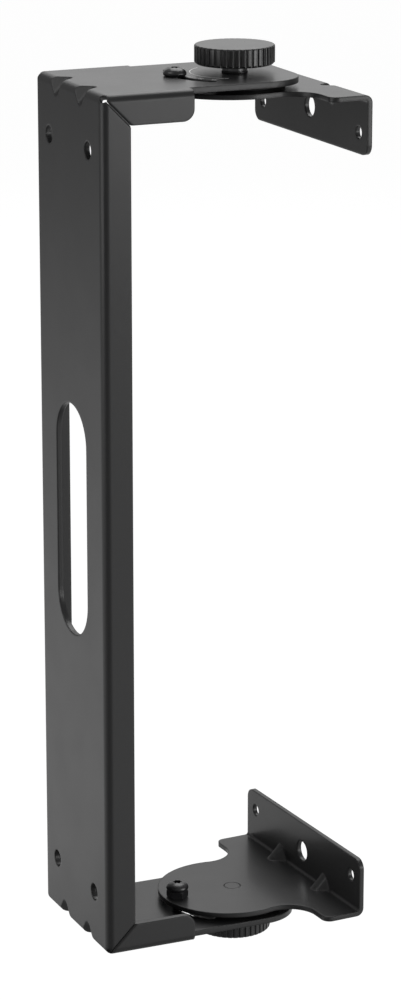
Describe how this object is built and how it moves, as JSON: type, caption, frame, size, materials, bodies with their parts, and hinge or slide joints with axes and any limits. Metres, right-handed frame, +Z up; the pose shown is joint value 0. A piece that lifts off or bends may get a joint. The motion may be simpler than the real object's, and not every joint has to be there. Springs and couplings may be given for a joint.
{
  "type": "speaker wall bracket",
  "caption": "Tall folded steel wall bracket with a swivelling ear plate under each arm, clamped by ribbed knobs, that holds a loudspeaker out from a wall.",
  "frame": {"origin": "centre of the four wall holes, on the wall face", "axes": "+X across the bracket, +Y into the wall, +Z up"},
  "size_m": [0.1263, 0.1386, 0.4732],
  "materials": {
    "powder_coat": "fine-textured black powder coat on steel sheet",
    "knob_plastic": "black moulded plastic, satin",
    "black_steel": "blackened steel fasteners",
    "friction_disc": "black plastic washer"
  },
  "bodies": {
    "bracket": {"wall_bracket": "powder_coat"},
    "upper_swivel": {"upper_swivel_plate": "powder_coat", "upper_pivot_stud": "powder_coat", "upper_friction_washer": "friction_disc", "upper_lock_screw": "black_steel", "upper_lock_nut": "black_steel"},
    "upper_thrust": {"upper_knob_washer": "black_steel"},
    "upper_clamp": {"upper_knob": "knob_plastic", "upper_knob_bush": "black_steel"},
    "lower_swivel": {"lower_swivel_plate": "powder_coat", "lower_pivot_stud": "powder_coat", "lower_friction_washer": "friction_disc", "lower_lock_screw": "black_steel", "lower_lock_nut": "black_steel"},
    "lower_thrust": {"lower_knob_washer": "black_steel"},
    "lower_clamp": {"lower_knob": "knob_plastic", "lower_knob_bush": "black_steel"}
  },
  "joints": [
    {"name": "upper_swivel_turn", "type": "hinge", "parent": "bracket", "child": "upper_swivel", "pos_m": [0, -0.09, 0.21455], "axis": [0, 0, 1], "range_deg": [-46.6, 43.4]},
    {"name": "upper_knob_rise", "type": "slide", "parent": "upper_swivel", "child": "upper_thrust", "axis": [0, 0, 1], "range_m": [0, 0.0025]},
    {"name": "upper_knob_turn", "type": "hinge", "parent": "upper_thrust", "child": "upper_clamp", "pos_m": [0, -0.09, 0.22275], "axis": [0, 0, 1], "range_deg": [0, 720]},
    {"name": "lower_swivel_turn", "type": "hinge", "parent": "bracket", "child": "lower_swivel", "pos_m": [0, -0.09, -0.21455], "axis": [0, 0, 1], "range_deg": [-48.4, 41.6]},
    {"name": "lower_knob_rise", "type": "slide", "parent": "lower_swivel", "child": "lower_thrust", "axis": [0, 0, -1], "range_m": [0, 0.0025]},
    {"name": "lower_knob_turn", "type": "hinge", "parent": "lower_thrust", "child": "lower_clamp", "pos_m": [0, -0.09, -0.22275], "axis": [0, 0, -1], "range_deg": [0, 720]}
  ],
  "couplings": [
    {"joint": "upper_knob_turn", "follows": "upper_knob_rise", "rad_per_m": 5026.5},
    {"joint": "lower_knob_turn", "follows": "lower_knob_rise", "rad_per_m": 5026.5}
  ]
}
